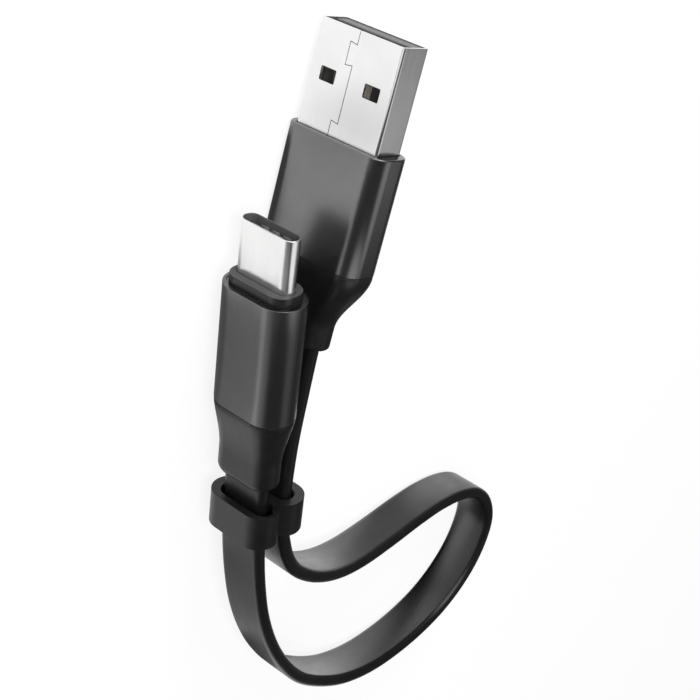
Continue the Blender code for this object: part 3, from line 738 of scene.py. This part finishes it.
def strain_relief(name, seat, end, section, core, taper, end_round, onset, place, mat, node):
    """The moulded sleeve from the housing's outline down to the cord, with the cord's slot in its end.

    onset runs from 0, where the taper starts gently, to 1, where it is steepest right at the housing.
    """
    flange = shrink(section, 0.03)
    root, face, start = seat - RELIEF_ROOT, seat + 0.05, 0.4
    stations = [(root, core), (face, core)] + eased(face, flange, 0.04, True, 2)
    steps = 30
    for step in range(1, steps + 1):
        share = step / steps
        ease = (1 - onset) * share * share * (3 - 2 * share) + onset * share * (2 - share)
        blend = tuple(a + (b - a) * ease for a, b in zip(flange, RELIEF_END))
        stations.append((seat + start + (taper - start) * share, blend))
    steps, flat_round = 6, min(0.5, end_round)
    for step in range(steps + 1):
        angle = math.pi / 2 * step / steps
        inset = end_round * (1 - math.cos(angle))
        flat_inset = flat_round * (1 - math.cos(angle))
        rounded = (RELIEF_END[0] - 2 * inset, RELIEF_END[1] - 2 * flat_inset, RELIEF_END[2] - flat_inset)
        stations.append((end - end_round * (1 - math.sin(angle)), rounded))
    slot = shrink((CORD_WIDTH, CORD_THICKNESS, CORD_THICKNESS / 2), -0.05)
    floor = end - 2.0
    stations += [(end, slot), (floor, slot), (floor, RELIEF_BORE), (root, RELIEF_BORE)]
    piece = add_piece(name, tube(stations), place, mat)
    smooth(piece, 0.0, 2, 50.0)
    dress(piece, "cable", "black_rubber", node)


def usb_a_plug(mats):
    place = mount_frame("usb_a_mouth", SHELL_A[1] / 2 - SHELL_A_WALL / 2)
    usb_a_shell(place, mats["nickel"], mats["nickel_painted_shade"])
    usb_a_tongue(place, mats["grey_plastic"])
    housing_sleeve(
        "usb_a_metal_housing", HOUSING_A_TOP, HOUSING_A_END, HOUSING_A, wall=0.5, ease=0.2, set_back=0.0,
        opening=shrink(SHELL_A, -0.15), place=place, mat=mats["anodised"], node="usb_a_housing",
    )
    strain_relief(
        "usb_a_rubber_sleeve", HOUSING_A_END, RELIEF_A_END, HOUSING_A, core=shrink(HOUSING_A, 0.7), taper=7.8,
        end_round=0.5, onset=0.0, place=place, mat=mats["rubber"], node="usb_a_strain_relief",
    )
    return place


# ---------------------------------------------------------------- the USB-C plug


def ground_spring(side, place, mat, front, bend, dip, rear):
    """A thin plate on the shell's inner wall; its three fingers bulge inwards by dip at depth bend."""
    name = "front" if side < 0 else "back"
    wall = SHELL_C[1] / 2 - SHELL_C_WALL - 0.01
    line = [(wall, -front), (wall - dip, -bend), (wall, -rear), (wall, -SPRING_END)]
    points = line + [(x - SPRING_THICKNESS, y) for x, y in reversed(line)]
    plate = prism([(side * x, y) for x, y in points], "z", -SPRING_WIDTH / 2, SPRING_WIDTH / 2)
    spring = add_piece(f"usb_c_spring_{name}", plate, place, mat)
    across, first, last, half_slot = SHELL_C[1] / 2, 0.2, -rear - 0.3, 0.28
    slot = [(-across, last), (across, last), (across, first), (-across, first)]
    slots = []
    for z in (-0.85, 0.85):
        cutter = prism(slot, "z", z - half_slot, z + half_slot)
        slots.append(add_piece(f"cut_slot_{name}_{z}", cutter, place, mat))
    combine(spring, slots)
    smooth(spring, 0.02, 2, 30.0)
    dress(spring, "cable", "nickel", f"usb_c_ground_spring_{name}")


def usb_c_shell(place, mat, inside):
    """The drawn shell, rounded outside its mouth and with a small lead-in inside it."""
    inner = shrink(SHELL_C, SHELL_C_WALL)
    stations = eased(0.0, SHELL_C, 0.1, True) + [(SHELL_C_LENGTH, SHELL_C), (SHELL_C_LENGTH, inner)]
    stations += [(0.08, inner), (0.0, shrink(inner, -0.05))]
    shell = add_piece("usb_c_shell_drawn", tube(stations), place, mat)
    # the inner faces get the dark copy of the nickel: painted shade inside the mouth
    paint_shade_inside(shell, SHELL_C, SHELL_C_WALL, inside)
    smooth(shell, 0.0, 2, 50.0)
    dress(shell, "cable", "nickel", "usb_c_shell")


def usb_c_collar(place, mat, lit_face_mat):
    """The inner mould's end round the shell; its face towards the shell's mouth has a lighter copy of the
    collar's plastic, painted light, while its sides keep the darker plastic.
    """
    opening = shrink(SHELL_C, -0.04)
    stations = eased(COLLAR_TOP, COLLAR, 0.08, True)
    stations += [(COLLAR_END, COLLAR), (COLLAR_END, opening), (COLLAR_TOP, opening)]
    collar = add_piece("usb_c_moulded_collar", tube(stations), place, mat)
    # the faces towards the mouth get the lighter copy: painted light
    collar.data.materials.append(lit_face_mat)
    for face in collar.data.polygons:
        if face.normal.y > 0.9:
            face.material_index = 1
    smooth(collar, 0.0, 2, 50.0)
    dress(collar, "cable", "black_plastic", "usb_c_collar")


def usb_c_plug(mats):
    place = mount_frame("usb_c_mouth", SHELL_C[1] / 2 - SHELL_C_WALL / 2)
    usb_c_shell(place, mats["nickel"], mats["nickel_painted_shade"])
    # the springs get the darkened steel, which paints the shade inside the mouth
    ground_spring(-1, place, mats["steel"], front=0.1, bend=0.32, dip=0.5, rear=1.1)
    ground_spring(1, place, mats["steel"], front=0.9, bend=1.4, dip=0.1, rear=1.6)
    # the collar's face towards the mouth gets a lighter copy of its plastic, which paints light on it
    usb_c_collar(place, mats["collar"], mats["collar_lit_face"])
    housing_sleeve(
        "usb_c_metal_housing", HOUSING_C_TOP, HOUSING_C_END, HOUSING_C, wall=0.4, ease=0.05, set_back=0.14,
        opening=shrink(COLLAR, -0.02), place=place, mat=mats["anodised"], node="usb_c_housing",
    )
    strain_relief(
        "usb_c_rubber_sleeve", HOUSING_C_END, RELIEF_C_END, HOUSING_C, core=COLLAR, taper=7.0,
        end_round=1.1, onset=0.5, place=place, mat=mats["rubber"], node="usb_c_strain_relief",
    )
    return place


# ---------------------------------------------------------------- cord and clip


def ribbon(usb_a, usb_c, mat):
    """The flat cord: a ring of its rounded section at each point, with a UV map along and around it."""
    past = 0.3
    depths = (RELIEF_A_END - CORD_HIDDEN, RELIEF_A_END + past)
    start = [usb_a @ Vector((0.0, -depth * MM, 0.0)) for depth in depths]
    depths = (RELIEF_C_END + past, RELIEF_C_END - CORD_HIDDEN)
    end = [usb_c @ Vector((0.0, -depth * MM, 0.0)) for depth in depths]
    points = smooth_curve([*start, *CORD_ROUTE, *end], CORD_RINGS)
    section = outline((CORD_WIDTH, CORD_THICKNESS, CORD_THICKNESS / 2))
    tangents = np.gradient(points, axis=0)
    bm = bmesh.new()
    rings = []
    for point, tangent in zip(points, tangents):
        along = Vector(tangent).normalized()
        side = along.cross(Vector((0.0, 0.0, 1.0))).normalized()
        up = side.cross(along)
        rings.append([bm.verts.new(Vector(point) + (side * x + up * z) * MM) for x, z in section])
    for first, second in zip(rings, rings[1:]):
        bridge(bm, first, second)
    bm.faces.new(rings[0])
    bm.faces.new(rings[-1])
    turn = np.cumsum([0.0] + [math.dist(a, b) * MM for a, b in zip(section, section[1:])])
    travel = np.concatenate(([0.0], np.cumsum(np.linalg.norm(np.diff(points, axis=0), axis=1))))
    where = {v: (travel[i], turn[j]) for i, ring in enumerate(rings) for j, v in enumerate(ring)}
    layer = bm.loops.layers.uv.new("along")
    for face in bm.faces:
        for loop in face.loops:
            loop[layer].uv = where[loop.vert]
    cord = add_piece("flat_cord", bm, Matrix.Identity(4), mat)
    smooth(cord, 0.0, 2, 60.0)
    dress(cord, "cable", "black_rubber", "cord")


def clip(place, mat):
    """The rubber keeper: two joined loops with a rounded slot for each strand."""

    def lobe(name, x, z, section, reach):
        points = [(x + u, z + v) for u, v in outline(section)]
        return add_piece(name, prism(points, "y", -CLIP_END - reach, -CLIP_TOP + reach), place, mat)

    keeper = lobe("rubber_keeper", 0.0, 0.0, CLIP_LOOP, 0.0)
    combine(keeper, [lobe("join_lobe", STRAND_GAP, 0.0, CLIP_LOOP, 0.0)], "UNION")
    front = lobe("cut_slot_front", -0.15, 0.4, (8.2, 2.9, 1.45), 1.0)
    combine(keeper, [front, lobe("cut_slot_back", STRAND_GAP, 0.0, (7.6, 2.7, 1.35), 1.0)])
    smooth(keeper, 0.26, 3, 50.0)
    dress(keeper, "clip", "black_rubber", "cable_clip")


def paint_inner_nodes(mats):
    """Materials for the CAD nodes that stay: contacts, latch plate, moulds, board, resistor and wires."""
    looks = {
        "usb_a_contact": "gold",
        "usb_c_contact": "gold",
        "usb_c_latch_plate": "steel",
        "usb_a_inner_mould": "black_plastic",
        "usb_c_insulator": "black_plastic",
        "usb_c_paddle_board": "board",
        "usb_c_pullup_resistor": "ceramic",
    }
    for name, node in frame["nodes"].items():
        look = next((mat for start, mat in looks.items() if name.startswith(start)), None)
        if "_wire_" in name:
            look = "wire_" + name.rsplit("_", 1)[1]
        if look:
            for material_slot in node.material_slots:
                material_slot.material = mats[look]


# ---------------------------------------------------------------- the scene


def add_studio():
    """The light, and the tent and cards that only mirrors see, as the softboxes and flags of a studio."""
    add_world()
    add_floor()
    add_tent(0.07, [(150, 56, 14, 0.2), (232, 2, 14, 0.4), (350, 36, 28, 3.0)])
    # Each card's name, centre and half size in mm, turn in degrees, faded share and brightness. Each card on
    # the floor lies just above those before it.
    floor_cards = [
        ("card_far_left", (-140.0, -100.0), (90.0, 90.0), 0.0, 0.5, 0.2),
        ("card_far_right", (150.0, -70.0), (85.0, 90.0), 0.0, 0.4, 0.05),
        ("card_left", (-21.1, -24.2), (20.0, 9.0), 40.0, 0.2, 0.48),
        ("card_under_shell_a", (-16.0, 9.0), (17.0, 6.5), 0.0, 1.0, 0.78),
        ("card_right", (52.0, -18.0), (30.0, 28.0), 0.0, 0.4, 0.05),
        ("card_loop_left", (3.0, -77.0), (11.0, 13.0), 0.0, 0.5, 0.12),
        ("card_outside_left", (-11.0, -65.0), (10.0, 16.0), 0.0, 0.4, 0.55),
        ("card_mid_right", (34.0, -36.0), (30.0, 13.0), 0.0, 0.4, 0.05),
        ("card_under_usb_c", (-11.8, -18.5), (6.2, 15.0), 0.0, 0.45, 0.24),
        ("card_under_usb_a", (-3.6, -6.0), (4.2, 14.0), -11.9, 0.2, 0.15),
        ("card_beside_usb_c", (4.5, 3.0), (5.0, 9.0), -53.0, 0.4, 0.05),
        ("card_loop_inside", (43.0, -82.5), (14.0, 7.0), 15.0, 0.75, 0.02),
        ("card_loop_outside", (30.0, -57.0), (14.0, 5.0), 0.0, 0.75, 0.8),
        ("card_shine_front", (29.0, -83.5), (13.0, 5.5), 0.0, 0.75, 1.7),
        ("card_shine_back", (19.0, -58.0), (10.0, 4.0), -10.0, 0.6, 1.9),
        ("card_shine_bend", (43.5, -76.5), (4.5, 4.5), 0.0, 0.75, 3.2),
        ("card_shine_far", (44.0, -58.5), (12.0, 5.0), 0.0, 0.6, 1.8),
        ("card_loop_tip", (9.5, -81.5), (5.0, 4.5), 0.0, 0.7, 0.25),
        ("card_skyline", (430.0, -260.0), (230.0, 230.0), 0.0, 0.2, 0.05),
    ]
    for index, (name, centre, *look) in enumerate(floor_cards):
        add_card(name, (*centre, CARD_HEIGHT + CARD_STEP * index), *look)
    high_cards = [
        ("card_side_usb_a", (52.0, -14.0, 50.5), (9.5, 26.0), -12.0, 0.5, 0.45),
        ("card_edge_usb_a", (22.0, -8.0, 50.0), (22.0, 22.0), -12.0, 0.4, 0.8),
        ("card_edge_usb_c", (-8.5, -12.0, 27.0), (10.5, 7.5), 0.0, 0.45, 0.95),
        ("card_far_edge_usb_c", (11.0, -27.5, 9.0), (16.0, 9.0), -32.0, 0.3, 0.05),
        ("card_round_usb_c", (-47.0, -26.0, 27.5), (34.0, 6.0), 23.6, 0.5, 0.3),
        ("card_round_usb_a", (-44.0, 18.0, 22.0), (42.0, 11.0), 0.0, 0.12, 0.95),
    ]
    for card in high_cards:
        add_card(*card)
    middle = (0.0, -0.03, 0.0)
    add_lamp("key", (-0.35, 0.25, 0.55), middle, (0.30, 0.30), 4.5)
    add_lamp("end_light", (0.05, 0.60, 0.22), middle, (0.30, 0.20), 3.5)


def main():
    bpy.context.scene.view_settings.view_transform = "Standard"
    add_camera()
    add_studio()
    mats = make_materials()
    usb_a = usb_a_plug(mats)
    usb_c = usb_c_plug(mats)
    ribbon(usb_a, usb_c, mats["cord"])
    clip(usb_c, mats["rubber"])
    paint_inner_nodes(mats)


main()
